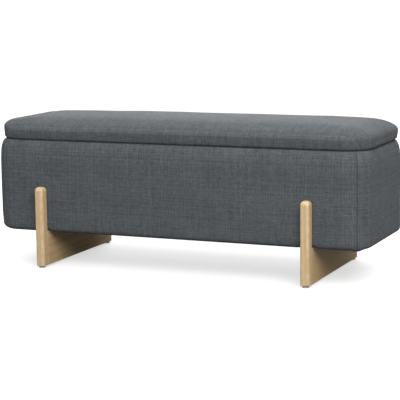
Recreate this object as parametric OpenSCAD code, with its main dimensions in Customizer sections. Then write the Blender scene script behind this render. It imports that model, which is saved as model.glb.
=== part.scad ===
// Upholstered storage bench on two wooden legs, with a hinged, padded lid.
// X runs along the bench, the front faces -Y, and Z = 0 is the floor.

/* [Box] */
// Length of the upholstered box
box_l = 1200; // [900:10:1500]
// Depth of the upholstered box, front to back
box_d = 403; // [330:1:490]
// Height of the box, from its underside to its rim
box_h = 276; // [200:1:350]
// Height of the box's underside above the floor
clear_h = 112; // [90:1:160]
// Plan radius of the box's upright corners, over the cover
corner_r = 70; // [55:1:90]

/* [Carcass] */
// Thickness of the four side panels
panel_t = 15; // [12:1:18]
// Thickness of the bottom panel
floor_t = 15; // [12:1:20]
// Shank radius of the screws that join the bottom to the sides
joint_screw_r = 2; // [1.5:0.25:2.5]
// Length of the screws that join the bottom to the sides
joint_screw_len = 45; // [35:1:60]

/* [Upholstery] */
// Thickness of the foam round the carcass
foam_t = 20; // [14:1:26]
// Thickness of the upholstery fabric
cloth_t = 1.5; // [1:0.1:2.5]
// Thickness of the lining inside the box
lining_t = 1; // [0.5:0.1:2]
// Flat left on the rim between the carcass and the rolled edge
rim_flat = 5.5; // [3:0.5:8]
// Height over which the top edge of the box rolls in
rim_drop = 36; // [20:1:50]
// Radius of the roll along the bottom edge of the box
base_roll = 14; // [8:1:15]
// Width of fabric turned under the box, from its face
under_turn = 30; // [20:1:45]
// Angle round each corner, from the long face to the seam
seam_a = 34; // [20:1:45]

/* [Lid] */
// Gap between the rim and the underside of the lid
lid_gap = 5; // [3:0.5:8]
// How far the lid's widest line stands in from the box's face
lid_inset = 9; // [4:1:16]
// Plan radius of the lid's corners at its widest line
lid_r = 78; // [60:1:95]
// How far the lid's lower edge draws in under its widest line
lid_pinch = 6; // [2:1:10]
// Height of the lid's widest line above its underside
bulge_h = 28; // [20:1:40]
// Distance over which the lid's top edge rolls down
lid_roll = 78; // [40:1:95]
// Height that the lid's top edge rolls down through
shoulder_h = 27; // [15:1:40]
// Rise of the crown over the rest of the lid's top
crown_h = 12; // [4:1:20]
// Thickness of the lid board
lid_board_t = 15; // [12:1:18]
// Foam wrapped over the edge of the lid board
board_inset = 12; // [11:1:20]
// Width of fabric turned under the lid, from its widest line
lid_turn = 40; // [25:1:60]
// Radius of the rubber bumpers on the rim
bumper_r = 5; // [3:0.5:7]

/* [Legs] */
// Thickness of the leg boards and width of the posts
leg_t = 28; // [22:1:40]
// Depth of each post, front to back
post_d = 28; // [22:1:40]
// Distance from the end of the box to the middle of each leg
leg_inset = 173; // [100:1:260]
// How far the posts rise above the box's underside
post_rise = 137; // [60:1:180]
// Radius of the rounded outer edges of the posts
post_edge = 8; // [3:1:10]
// Space between each post and the cover
post_gap = 0.5; // [0.2:0.1:2]
// Height of the floor glides
glide_h = 6; // [4:0.5:10]
// Radius of the floor glides
glide_r = 10; // [7:0.5:11]
// Distance from the wall of the well to the outer bolts of each leg board
bolt_inset = 45; // [20:1:60]
// Shank radius of the leg bolts
bolt_r = 3; // [2.5:0.5:4]
// Radius of the dowels between the boards and the posts
dowel_r = 4; // [3:0.5:5]

/* [Hinges and stays] */
// Length of each butt hinge
hinge_len = 80; // [50:1:120]
// Distance from the end of the box to the middle of each hinge
hinge_inset = 200; // [130:1:300]
// How far the hinge axis stands behind the lid's widest line
hinge_out = 2; // [1:0.5:4]
// Radius of the hinge pins
pin_r = 1.25; // [1:0.25:1.5]
// Thickness of the hinge leaves
leaf_t = 1.5; // [1:0.1:1.8]
// Shank radius of the hinge and stay screws
screw_r = 1.75; // [1.25:0.25:2]
// Space left between the folded stays and the front corner posts
knee_gap = 32; // [10:1:50]
// Angle between the arms' two pivots, seen from the hinge, with the lid shut
stay_angle = 20; // [15:1:30]
// Angle of the lid pivot below the hinge axis, with the lid shut
pivot_a = 3.6; // [3:0.1:5]
// Half width of each stay arm
arm_r = 7; // [6:0.5:8]
// Thickness of the stay arms, plates and brackets
arm_t = 2.5; // [2:0.5:3]
// Radius of the stay pivots
pivot_r = 3; // [2:0.5:3.5]

/* [Hidden] */
$fn = 48;

// Radial play of a pin in its bore, and of a fixing in its hole
fit = 0.05;
// Play of a bolt in the panels and cloth that it passes through
bolt_play = 0.5;
// Space between faces that pass each other
side_gap = 0.5;
// Steps in a rounded edge, and in a plan corner of the lid
edge_steps = 8;
plan_steps = 6;

// Heights
rim_z = clear_h + box_h;
bottom_z = clear_h + cloth_t;
wall_z = bottom_z + floor_t;
wall_top = rim_z - cloth_t;
lid_z = rim_z + lid_gap;
board_z = lid_z + cloth_t;
bulge_z = lid_z + bulge_h;
lid_top_z = bulge_z + shoulder_h + crown_h;

// Half sizes in plan: over the cover, at the corner centres, over the carcass, of the well
half_l = box_l / 2;
half_d = box_d / 2;
core_l = half_l - corner_r;
core_d = half_d - corner_r;
wall_in = cloth_t + foam_t;
carcass_r = corner_r - wall_in;
carcass_l = half_l - wall_in;
carcass_d = half_d - wall_in;
well_r = carcass_r - panel_t;
well_l = carcass_l - panel_t;
well_d = carcass_d - panel_t;
rim_in = wall_in - rim_flat;
lid_l = half_l - lid_inset;
lid_d = half_d - lid_inset;
lid_h = lid_top_z - lid_z;

// Legs
leg_x = half_l - leg_inset;
post_in_y = half_d + post_gap;
post_mid_y = post_in_y + post_d / 2;
post_top_z = clear_h + post_rise;
board_h = clear_h - glide_h;
dowel_len = post_d + 8;
dowel_in_post = post_d - 10;
insert_r = bolt_r + 2;
insert_h = 20;
washer_r = 3 * bolt_r;
washer_t = 1.5;
bolt_head_r = 1.8 * bolt_r;
bolt_head_h = 1.2 * bolt_r;
bolt_seat_z = wall_z + lining_t + washer_t;
bolt_tip_z = clear_h - insert_h + 4;
nail_r = 1.25;
nail_head_r = 2.75;
nail_head_h = 1;
nail_sink = 1;
nail_grip = 15;

// Hinges and stays
panel_mid_y = carcass_d - panel_t / 2;
panel_mid_x = carcass_l - panel_t / 2;
hinge_x = half_l - hinge_inset;
hinge_y = lid_d + hinge_out;
hinge_z = rim_z + lid_gap / 2;
barrel_r = lid_gap / 2 + 0.5;
knuckles = 5;
knuckle_len = hinge_len / knuckles;
leaf_y = panel_mid_y - 6;
hinge_screw_pitch = 0.36 * hinge_len;
box_screw_len = 20;
lid_screw_len = lid_board_t - 1;
plate_x = well_l - lining_t;
plate_drop = 34;
plate_screw_z = 17;
plate_screw_len = panel_t;
flange_w = 27;
flange_d = 32;
rivet_r = pivot_r + 2;
rivet_h = 1.5;
bumper_x = core_l - 20;

// Stay pivots as [y, z]: the hinge axis, the lid pivot, the wall pivot and the knee
// are the corners of a rhombus, so the arms turn at a constant rate with the lid.
wall_pivot_a = pivot_a + stay_angle;
arm_len = (hinge_y + core_d - knee_gap - arm_r) / (cos(pivot_a) + cos(wall_pivot_a));
hinge_axis = [hinge_y, hinge_z];
lid_pivot = hinge_axis - arm_len * [cos(pivot_a), sin(pivot_a)];
wall_pivot = hinge_axis - arm_len * [cos(wall_pivot_a), sin(wall_pivot_a)];
knee = wall_pivot + lid_pivot - hinge_axis;

fabric = "#555b60";
foam_colour = "#e8dfc4";
timber = "#cdb083";
board_colour = "#b79a72";
black_cloth = "#2a2b2d";
zinc = "#b9bcc0";
nylon = "#8d8b87";

// ---- outlines ----

// Points of an elliptical arc about c
function arc(c, rx, rz, a0, a1, n = edge_steps) =
    [for (i = [0:n]) let (a = a0 + (a1 - a0) * i / n) c + [rx * cos(a), rz * sin(a)]];

// Rectangle with round corners, from its half sizes
function round_rect(hx, hy, r, n = plan_steps) = concat(
    arc([hx - r, hy - r], r, r, 0, 90, n), arc([r - hx, hy - r], r, r, 90, 180, n),
    arc([r - hx, r - hy], r, r, 180, 270, n), arc([hx - r, r - hy], r, r, 270, 360, n));

// Rectangle with its corners cut off at 45 degrees
function cut_rect(hx, hy, c) = [
    [hx, c - hy], [hx, hy - c], [hx - c, hy], [c - hx, hy],
    [-hx, hy - c], [-hx, c - hy], [c - hx, -hy], [hx - c, -hy]];

// Bar with round ends about p and q
function bar(p, q, r) = let (a = atan2(q[1] - p[1], q[0] - p[0])) concat(
    arc(q, r, r, a - 90, a + 90), arc(p, r, r, a + 90, a + 270));

// Rolled edges of the box, t inside the cover's face, as [out from the corner centre, z]
function box_edge(t) = concat(
    arc([corner_r - base_roll, clear_h + base_roll], base_roll - t, base_roll - t, -90, 0),
    arc([corner_r - rim_in, rim_z - rim_drop], rim_in - t, rim_drop - t, 0, 90));

// Height of the lid's top at a distance s inside its widest line
function lid_top(s) = bulge_z
    + shoulder_h * sqrt(1 - pow(1 - min(s, lid_roll) / lid_roll, 2))
    + crown_h * (1 - pow(1 - s / lid_d, 2));

// Section of the lid as [inset, z], from its lower edge up and over to its crown
function lid_section() = concat(
    arc([lid_pinch, bulge_z], -lid_pinch, bulge_h, -90, -15, 4),
    [for (a = [0:11.25:90]) let (s = lid_roll * (1 - cos(a))) [s, lid_top(s)]],
    [for (k = [1, 2]) let (s = lid_roll + (lid_d - lid_roll) * 0.42 * k) [s, lid_top(s)]]);

module cover_section()
    polygon(concat(
        [[corner_r - under_turn, clear_h]], box_edge(0), [[well_r, rim_z]],
        [[well_r, wall_top]], [for (i = [len(box_edge(cloth_t)) - 1:-1:0]) box_edge(cloth_t)[i]],
        [[corner_r - under_turn, bottom_z]]));

module foam_section()
    polygon(concat([[carcass_r, bottom_z]], box_edge(cloth_t), [[carcass_r, wall_top]]));

// ---- ways of placing a section or a shape ----

// A section run straight along the side of the box that faces phi
module side_run(phi, length, reach)
    rotate([0, 0, phi]) translate([reach, length / 2, 0]) rotate([90, 0, 0])
        linear_extrude(length) children();

// A section turned about the corner at the signs sx, sy, from phi through sweep
module corner_run(sx, sy, phi, sweep)
    translate([sx * core_l, sy * core_d, 0]) rotate([0, 0, phi])
        rotate_extrude(angle = sweep) children();

module both_ends() {
    children();
    mirror([1, 0, 0]) children();
}

module front_and_rear() {
    children();
    mirror([0, 1, 0]) children();
}

// A [y, z] outline as a plate: layer 0 lies on the end wall, and each next one further in
module in_layer(i)
    translate([plate_x - i * (arm_t + side_gap) - arm_t, 0, 0]) rotate([90, 0, 90])
        linear_extrude(arm_t) children();

// A countersunk screw that points up, its head's face at Z = 0; grow makes its hole
module screw(length, r, grow = 0)
    translate([0, 0, -grow]) {
        cylinder(r = r + grow, h = length + 2 * grow);
        cylinder(r1 = 1.85 * r + grow, r2 = r + grow, h = 0.8 * r + grow);
    }

// ---- legs ----

module leg_board()
    color(timber) difference() {
        translate([leg_x - leg_t / 2, -post_in_y, glide_h]) cube([leg_t, 2 * post_in_y, board_h]);
        at_leg_bolts() translate([0, 0, clear_h - insert_h - 2])
            cylinder(r = insert_r + fit, h = insert_h + 3);
        front_and_rear() at_dowels() dowel_hole();
    }

// A post of the front right leg: rounded on its outer edges and over its top
module leg_post()
    color(timber) difference() {
        intersection() {
            translate([leg_x, 0, glide_h]) linear_extrude(post_top_z - glide_h) polygon(concat(
                [[leg_t / 2, -post_in_y], [-leg_t / 2, -post_in_y]],
                arc([post_edge - leg_t / 2, post_edge - post_in_y - post_d],
                    post_edge, post_edge, 180, 270),
                arc([leg_t / 2 - post_edge, post_edge - post_in_y - post_d],
                    post_edge, post_edge, 270, 360)));
            translate([leg_x, 0, 0]) rotate([90, 0, 0])
                linear_extrude(post_in_y + post_d + 1) polygon(concat(
                [[-leg_t / 2 - 1, 0], [leg_t / 2 + 1, 0], [leg_t / 2 + 1, clear_h]],
                arc([leg_t / 2 - post_edge, post_top_z - post_edge], post_edge, post_edge, 0, 90),
                arc([post_edge - leg_t / 2, post_top_z - post_edge], post_edge, post_edge, 90, 180),
                [[-leg_t / 2 - 1, clear_h]]));
            translate([leg_x - leg_t, 0, 0]) rotate([90, 0, 90])
                linear_extrude(2 * leg_t) polygon(concat(
                [[1 - post_in_y, 0], [1 - post_in_y, post_top_z + 1]],
                [[post_edge - post_in_y - post_d, post_top_z]],
                arc([post_edge - post_in_y - post_d, post_top_z - post_edge],
                    post_edge, post_edge, 90, 180),
                [[-post_in_y - post_d, 0]]));
        }
        at_dowels() dowel_hole();
        translate([leg_x, -post_mid_y, 0]) cylinder(r = nail_r + fit, h = glide_h + nail_grip);
    }

// Two dowels in each end of a board, seen at the front right
module at_dowels()
    for (z = [0.28, 0.75] * board_h) translate([leg_x, -dowel_in_post - post_in_y, glide_h + z])
        rotate([-90, 0, 0]) children();

module dowel_hole()
    translate([0, 0, -fit]) cylinder(r = dowel_r + fit, h = dowel_len + 2 * fit);

module leg_dowels()
    color(timber) both_ends() front_and_rear() at_dowels() cylinder(r = dowel_r, h = dowel_len);

module at_leg_bolts()
    for (y = [-1, 0, 1] * (well_d - bolt_inset)) translate([leg_x, y, 0]) children();

module leg_inserts()
    color(zinc) both_ends() at_leg_bolts() translate([0, 0, clear_h - insert_h]) difference() {
        cylinder(r = insert_r, h = insert_h);
        translate([0, 0, -1]) cylinder(r = bolt_r + fit, h = insert_h + 2);
    }

module leg_bolts()
    color(zinc) both_ends() at_leg_bolts() difference() {
        union() {
            translate([0, 0, bolt_tip_z]) cylinder(r = bolt_r, h = bolt_seat_z - bolt_tip_z);
            translate([0, 0, bolt_seat_z]) cylinder(r = bolt_head_r, h = bolt_head_h);
        }
        translate([0, 0, bolt_seat_z + bolt_head_h / 3])
            cylinder(r = bolt_head_r / 2, h = bolt_head_h, $fn = 6);
    }

module leg_washers()
    color(zinc) both_ends() at_leg_bolts() translate([0, 0, bolt_seat_z - washer_t]) difference() {
        cylinder(r = washer_r, h = washer_t);
        translate([0, 0, -1]) cylinder(r = bolt_r + bolt_play, h = washer_t + 2);
    }

// The holes for the leg bolts through the floor of the box
module bolt_holes()
    both_ends() at_leg_bolts() translate([0, 0, clear_h - 1])
        cylinder(r = bolt_r + bolt_play, h = bolt_seat_z - clear_h);

module at_glides()
    both_ends() front_and_rear() translate([leg_x, -post_mid_y, 0]) children();

module floor_glides()
    color(nylon) at_glides() difference() {
        rotate_extrude() polygon([
            [0, 0], [glide_r - 1, 0], [glide_r, 1], [glide_r, glide_h], [0, glide_h]]);
        translate([0, 0, -1]) cylinder(r = nail_r + fit, h = glide_h + 2);
        translate([0, 0, -1]) cylinder(r = nail_head_r + fit, h = nail_sink + nail_head_h + 1);
    }

module glide_nails()
    color(zinc) at_glides() {
        translate([0, 0, nail_sink]) cylinder(r = nail_head_r, h = nail_head_h);
        translate([0, 0, nail_sink]) cylinder(r = nail_r, h = glide_h + nail_grip - nail_sink);
    }

// ---- carcass ----

module bottom_panel()
    color(board_colour) difference() {
        translate([0, 0, bottom_z]) linear_extrude(floor_t)
            polygon(round_rect(carcass_l, carcass_d, carcass_r, 2 * plan_steps));
        bolt_holes();
        carcass_screws(fit);
    }

module long_panel()
    color(board_colour) difference() {
        translate([-core_l, -carcass_d, wall_z]) cube([2 * core_l, panel_t, wall_top - wall_z]);
        carcass_screws(fit);
    }

module rear_panel()
    difference() {
        mirror([0, 1, 0]) long_panel();
        hinge_box_screws(fit);
    }

module end_panel()
    color(board_colour) difference() {
        translate([well_l, -core_d, wall_z]) cube([panel_t, 2 * core_d, wall_top - wall_z]);
        carcass_screws(fit);
        stay_wall_screws(fit);
    }

// Corner posts with a round outer face and a flat inner one
module corner_posts()
    color(timber) difference() {
        both_ends() front_and_rear() translate([core_l, -core_d, wall_z])
            linear_extrude(wall_top - wall_z) polygon(concat(
                arc([0, 0], carcass_r, carcass_r, -90, 0, 2 * plan_steps),
                [[well_r, 0], [0, -well_r]]));
        carcass_screws(fit);
    }

module carcass_screws(grow = 0) {
    corner_mid = (carcass_r + well_r * sqrt(0.5)) / 2 * sqrt(0.5);
    places = concat(
        [for (i = [-3, -1, 1, 3], s = [-1, 1]) [i * core_l / 4, s * panel_mid_y]],
        [for (i = [-1, 1], s = [-1, 1]) [s * panel_mid_x, i * core_d / 2]],
        [for (i = [-1, 1], s = [-1, 1]) [i * (core_l + corner_mid), s * (core_d + corner_mid)]]);
    color(zinc) for (p = places) translate([p[0], p[1], bottom_z])
        screw(joint_screw_len, joint_screw_r, grow);
}

// ---- upholstery of the box ----

module long_foam()
    color(foam_colour) side_run(-90, 2 * core_l, core_d) foam_section();

module end_foam()
    color(foam_colour) side_run(0, 2 * core_d, core_l) foam_section();

module foam_corners()
    color(foam_colour) both_ends() front_and_rear() corner_run(1, -1, -90, 90) foam_section();

// Cover of a long side, which goes round both corners as far as the seams
module long_cover()
    color(fabric) {
        side_run(-90, 2 * core_l, core_d) cover_section();
        both_ends() corner_run(1, -1, -90, seam_a) cover_section();
    }

module end_cover()
    color(fabric) {
        side_run(0, 2 * core_d, core_l) cover_section();
        front_and_rear() corner_run(1, 1, 0, 90 - seam_a) cover_section();
    }

module rear_cover()
    difference() {
        mirror([0, 1, 0]) long_cover();
        hinge_box_screws(fit);
    }

module dust_cloth()
    color(black_cloth) difference() {
        translate([0, 0, clear_h]) linear_extrude(cloth_t) polygon(round_rect(
            half_l - under_turn, half_d - under_turn, corner_r - under_turn, 2 * plan_steps));
        bolt_holes();
    }

module well_lining()
    color(black_cloth) difference() {
        translate([0, 0, wall_z]) linear_extrude(wall_top - wall_z)
            polygon(cut_rect(well_l, well_d, well_r));
        translate([0, 0, wall_z + lining_t]) linear_extrude(box_h) polygon(cut_rect(
            well_l - lining_t, well_d - lining_t, well_r - lining_t * (2 - sqrt(2))));
        bolt_holes();
        both_ends() stay_wall_screws(fit);
    }

module rim_bumpers()
    color(black_cloth) both_ends() front_and_rear()
        translate([bumper_x, -panel_mid_y, rim_z]) cylinder(r = bumper_r, h = lid_gap - side_gap);

// ---- lid ----

// A solid whose plan outline changes with height, from [inset, z] pairs
module lid_solid(section) {
    rings = [for (p = section) [for (q = round_rect(
        lid_l - p[0], lid_d - p[0], max(lid_r - p[0], edge_steps))) [q[0], q[1], p[1]]]];
    n = len(rings[0]);
    m = len(rings);
    polyhedron(
        points = [for (ring = rings, q = ring) q],
        faces = concat(
            [[for (i = [0:n - 1]) i]],
            [[for (i = [n - 1:-1:0]) (m - 1) * n + i]],
            [for (j = [0:m - 2], i = [0:n - 1]) let (k = (i + 1) % n)
                [j * n + i, (j + 1) * n + i, (j + 1) * n + k]],
            [for (j = [0:m - 2], i = [0:n - 1]) let (k = (i + 1) % n)
                [j * n + i, (j + 1) * n + k, j * n + k]]));
}

module lid_outer()
    lid_solid(lid_section());

// The space inside the lid's cover
module lid_inner()
    lid_solid([for (p = lid_section())
        [p[0] + cloth_t, board_z + (p[1] - lid_z) * (lid_h - 2 * cloth_t) / lid_h]]);

module lid_plate(inset, z, t)
    translate([0, 0, z]) linear_extrude(t)
        polygon(round_rect(lid_l - inset, lid_d - inset, lid_r - inset, 2 * plan_steps));

module lid_holes() {
    hinge_lid_screws(fit);
    stay_lid_screws(fit);
}

module lid_board()
    color(board_colour) difference() {
        lid_plate(board_inset, board_z, lid_board_t);
        lid_holes();
    }

module lid_foam()
    color(foam_colour) difference() {
        lid_inner();
        lid_plate(board_inset, board_z - 1, lid_board_t + 1);
    }

module lid_cover()
    color(fabric) difference() {
        lid_outer();
        lid_inner();
        lid_plate(lid_turn, lid_z - 1, cloth_t + 2);
        lid_holes();
    }

module lid_lining()
    color(black_cloth) difference() {
        lid_plate(lid_turn, lid_z, cloth_t);
        lid_holes();
    }

// ---- hinges ----

// One leaf with the knuckles whose numbers are given, at the right-hand hinge
module hinge_leaf(z, own) {
    flat_y = hinge_y - barrel_r - side_gap;
    translate([hinge_x, 0, 0]) difference() {
        union() {
            translate([-hinge_len / 2, leaf_y, z]) cube([hinge_len, flat_y - leaf_y, leaf_t]);
            for (k = own) translate([(k - knuckles / 2) * knuckle_len + side_gap / 2, 0, 0]) {
                translate([0, flat_y - 1, z])
                    cube([knuckle_len - side_gap, hinge_y - flat_y + 1, leaf_t]);
                translate([0, hinge_y, hinge_z]) rotate([0, 90, 0])
                    cylinder(r = barrel_r, h = knuckle_len - side_gap);
            }
        }
        translate([-hinge_len, hinge_y, hinge_z]) rotate([0, 90, 0])
            cylinder(r = pin_r + fit, h = 2 * hinge_len);
    }
}

module hinge_box_leaves()
    color(zinc) difference() {
        both_ends() hinge_leaf(rim_z, [0, 2, 4]);
        hinge_box_screws(fit);
    }

module hinge_lid_leaves()
    color(zinc) difference() {
        both_ends() hinge_leaf(lid_z - leaf_t, [1, 3]);
        hinge_lid_screws(fit);
    }

module hinge_pins()
    color(zinc) both_ends() for (s = [-1, 1]) translate([hinge_x, hinge_y, hinge_z])
        rotate([0, s * 90, 0]) {
            cylinder(r = pin_r, h = hinge_len / 2 + side_gap);
            translate([0, 0, hinge_len / 2]) cylinder(r = pin_r + 0.75, h = 1);
        }

module at_hinge_screws(z)
    both_ends() for (i = [-1, 0, 1])
        translate([hinge_x + i * hinge_screw_pitch, panel_mid_y, z]) children();

module hinge_box_screws(grow = 0)
    color(zinc) at_hinge_screws(rim_z + leaf_t) mirror([0, 0, 1])
        screw(box_screw_len, screw_r, grow);

module hinge_lid_screws(grow = 0)
    color(zinc) at_hinge_screws(lid_z - leaf_t) screw(lid_screw_len, screw_r, grow);

// ---- lid stays, seen at the right-hand end ----

module stay_arm(i, p, q)
    color(zinc) in_layer(i) difference() {
        polygon(bar(p, q, arm_r));
        for (c = [p, q]) translate(c) circle(r = pivot_r + fit);
    }

// A rivet from the outer face of layer i to just past the inner face of layer j, and back if j < i
module rivet(p, i, j) {
    pitch = arm_t + side_gap;
    x0 = plate_x - i * pitch - (j < i ? arm_t : 0);
    reach = abs(j - i) * pitch + arm_t + side_gap / 2;
    color(zinc) translate([x0, p[0], p[1]]) rotate([0, j < i ? 90 : -90, 0]) {
        cylinder(r = pivot_r, h = reach);
        translate([0, 0, reach]) cylinder(r = rivet_r, h = rivet_h);
    }
}

module stay_wall_plates()
    color(zinc) both_ends() difference() {
        in_layer(0) difference() {
            polygon(bar(wall_pivot, wall_pivot - [0, plate_drop], arm_r + 2));
            translate(wall_pivot) circle(r = pivot_r + fit);
        }
        stay_wall_screws(fit);
    }

module stay_wall_screws(grow = 0)
    color(zinc) for (k = [1, 2])
        translate([plate_x - arm_t, wall_pivot[0], wall_pivot[1] - k * plate_screw_z])
            rotate([0, 90, 0]) screw(plate_screw_len, screw_r, grow);

module stay_lid_brackets()
    color(zinc) both_ends() difference() {
        union() {
            in_layer(3) difference() {
                polygon(concat(arc(lid_pivot, arm_r, arm_r, 180, 360), [
                    [lid_pivot[0] + arm_r, lid_z], [lid_pivot[0] - arm_r, lid_z]]));
                translate(lid_pivot) circle(r = pivot_r + fit);
            }
            translate([plate_x - 3 * (arm_t + side_gap) - flange_w, lid_pivot[0] - flange_d / 2,
                lid_z - arm_t]) cube([flange_w, flange_d, arm_t]);
        }
        stay_lid_screws(fit);
    }

module stay_lid_screws(grow = 0)
    color(zinc) both_ends() for (s = [-1, 1])
        translate([plate_x - 3 * (arm_t + side_gap) - flange_w / 2 - arm_t,
            lid_pivot[0] + s * flange_d / 3, lid_z - arm_t])
            screw(lid_screw_len, screw_r, grow);

// ---- the pieces ----

mirror([1, 0, 0]) leg_board();  // leg_board_left
leg_board();  // leg_board_right
mirror([1, 0, 0]) leg_post();  // front_post_left
leg_post();  // front_post_right
rotate([0, 0, 180]) leg_post();  // rear_post_left
mirror([0, 1, 0]) leg_post();  // rear_post_right
leg_dowels();
leg_inserts();
leg_bolts();
leg_washers();
floor_glides();
glide_nails();
bottom_panel();
long_panel();  // front_panel
rear_panel();
mirror([1, 0, 0]) end_panel();  // end_panel_left
end_panel();  // end_panel_right
corner_posts();
carcass_screws();
long_foam();  // foam_front
mirror([0, 1, 0]) long_foam();  // foam_rear
mirror([1, 0, 0]) end_foam();  // foam_end_left
end_foam();  // foam_end_right
foam_corners();
long_cover();  // cover_front
rear_cover();  // cover_rear
mirror([1, 0, 0]) end_cover();  // cover_end_left
end_cover();  // cover_end_right
dust_cloth();
well_lining();
rim_bumpers();
hinge_box_leaves();
hinge_pins();
hinge_box_screws();
hinge_lid_leaves();
hinge_lid_screws();
lid_board();
lid_foam();
lid_cover();
lid_lining();
stay_wall_plates();
both_ends() stay_wall_screws();
both_ends() rivet(wall_pivot, 0, 1);  // stay_wall_pivots
mirror([1, 0, 0]) stay_arm(1, wall_pivot, knee);  // stay_lower_arm_left
stay_arm(1, wall_pivot, knee);  // stay_lower_arm_right
mirror([1, 0, 0]) rivet(knee, 1, 2);  // stay_knee_pivot_left
rivet(knee, 1, 2);  // stay_knee_pivot_right
mirror([1, 0, 0]) stay_arm(2, knee, lid_pivot);  // stay_upper_arm_left
stay_arm(2, knee, lid_pivot);  // stay_upper_arm_right
both_ends() rivet(lid_pivot, 3, 2);  // stay_lid_pivots
stay_lid_brackets();
stay_lid_screws();
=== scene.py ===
import math

import bmesh
import bpy
import numpy as np
from mathutils import Matrix, Vector


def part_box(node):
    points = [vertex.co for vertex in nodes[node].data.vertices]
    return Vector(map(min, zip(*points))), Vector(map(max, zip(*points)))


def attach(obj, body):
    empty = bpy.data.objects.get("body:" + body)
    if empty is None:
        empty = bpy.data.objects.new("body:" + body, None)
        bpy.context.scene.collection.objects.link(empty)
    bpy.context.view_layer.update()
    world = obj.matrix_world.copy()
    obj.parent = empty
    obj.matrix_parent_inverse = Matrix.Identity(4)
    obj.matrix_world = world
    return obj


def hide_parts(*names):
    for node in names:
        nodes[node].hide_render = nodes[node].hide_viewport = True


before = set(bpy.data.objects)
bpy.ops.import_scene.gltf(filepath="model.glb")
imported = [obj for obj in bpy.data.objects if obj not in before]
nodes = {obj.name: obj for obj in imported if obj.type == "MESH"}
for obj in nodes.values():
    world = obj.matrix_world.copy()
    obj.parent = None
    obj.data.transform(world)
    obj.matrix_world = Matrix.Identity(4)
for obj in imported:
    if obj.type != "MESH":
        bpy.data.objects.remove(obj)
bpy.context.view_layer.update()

# ---- carcass ----
# Five raw boards and four corner posts, screwed together into an open box.
# They are plain pine-faced board, and are out of sight once the foam and cloth are on.


def join(tree, value, socket):
    """Joins a node or socket to a socket, or sets the socket to a plain value."""
    if isinstance(value, bpy.types.Node):
        value = value.outputs[0]
    if isinstance(value, bpy.types.NodeSocket):
        tree.links.new(value, socket)
    elif value is not None:
        socket.default_value = value


def put(tree, kind, *values, **named):
    """Adds a node. Values fill its inputs in order and capitalised names fill them by name:
    a node or socket is joined, anything else is set. Small names are the node's settings."""
    node = tree.nodes.new("ShaderNode" + kind)
    for name, value in named.items():
        if name[0].islower():
            setattr(node, name, value)
    filled = list(zip(node.inputs, values))
    filled += [(node.inputs[name.replace("_", " ")], value)
               for name, value in named.items() if name[0].isupper()]
    for socket, value in filled:
        join(tree, value, socket)
    return node


def calc(tree, operation, *values):
    """A sum on numbers, as a node."""
    return put(tree, "Math", *values, operation=operation)


def mix_colour(tree, share, first, second):
    """The two colours mixed, with share of the second."""
    node = put(tree, "Mix", share, data_type="RGBA")
    first_colour, second_colour, mixed = node.inputs[6], node.inputs[7], node.outputs[2]
    join(tree, first, first_colour)
    join(tree, second, second_colour)
    return mixed


def span(tree, value, low, high, start=0.0, end=1.0):
    """The value carried from low..high to start..end, held at both ends."""
    return put(tree, "MapRange", value, low, high, start, end)


def in_object(tree):
    """The place in the object's own coordinates, in metres."""
    return put(tree, "TexCoord").outputs["Object"]


def noise(tree, vector, stretch, detail=2.0):
    """A noise with its own scale along each axis."""
    return put(tree, "TexNoise", put(tree, "Mapping", vector, Scale=stretch), Scale=1.0,
               Detail=detail)


def offset(tree, source, reach):
    """A noise's colour as an offset both ways, by up to half the reach along each axis."""
    even = put(tree, "VectorMath", source.outputs["Color"], (0.5, 0.5, 0.5), operation="SUBTRACT")
    return put(tree, "VectorMath", even, reach, operation="MULTIPLY")


def new_group(name, inputs, outputs):
    """An empty node group with its named sockets, and the nodes at its two ends."""
    group = bpy.data.node_groups.new(name, "ShaderNodeTree")
    for label, kind, value in inputs:
        socket = group.interface.new_socket(label, in_out="INPUT", socket_type="NodeSocket" + kind)
        if value is not None:
            socket.default_value = value
    for label, kind in outputs:
        group.interface.new_socket(label, in_out="OUTPUT", socket_type="NodeSocket" + kind)
    start, end = group.nodes.new("NodeGroupInput"), group.nodes.new("NodeGroupOutput")
    return group, start.outputs, end.inputs


def new_material(name, **shader_values):
    """A material of one shader with the constant values given on its own sockets."""
    material = bpy.data.materials.new(name)
    material.use_nodes = True
    shader = material.node_tree.nodes["Principled BSDF"]
    for label, value in shader_values.items():
        shader.inputs[label.replace("_", " ")].default_value = value
    return material, material.node_tree, shader.inputs


def relief(tree, shader, height, strength, depth):
    """Joins a height to the shader's normal, with its depth in metres."""
    bump = put(tree, "Bump", Strength=strength, Distance=depth, Height=height)
    tree.links.new(bump.outputs["Normal"], shader["Normal"])


def tint(tree, shader, share, first, second):
    """Colours the shader with a mix of two colours."""
    join(tree, mix_colour(tree, share, first, second), shader["Base Color"])


def gloss(tree, shader, value, low, high):
    """Sets the shader's roughness from low to high as a noise rises through its middle range."""
    join(tree, span(tree, value, 0.3, 0.7, low, high), shader["Roughness"])


def dress(material, *names):
    """Gives CAD nodes a material."""
    for name in names:
        for slot in nodes[name].material_slots:
            slot.material = material


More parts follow.
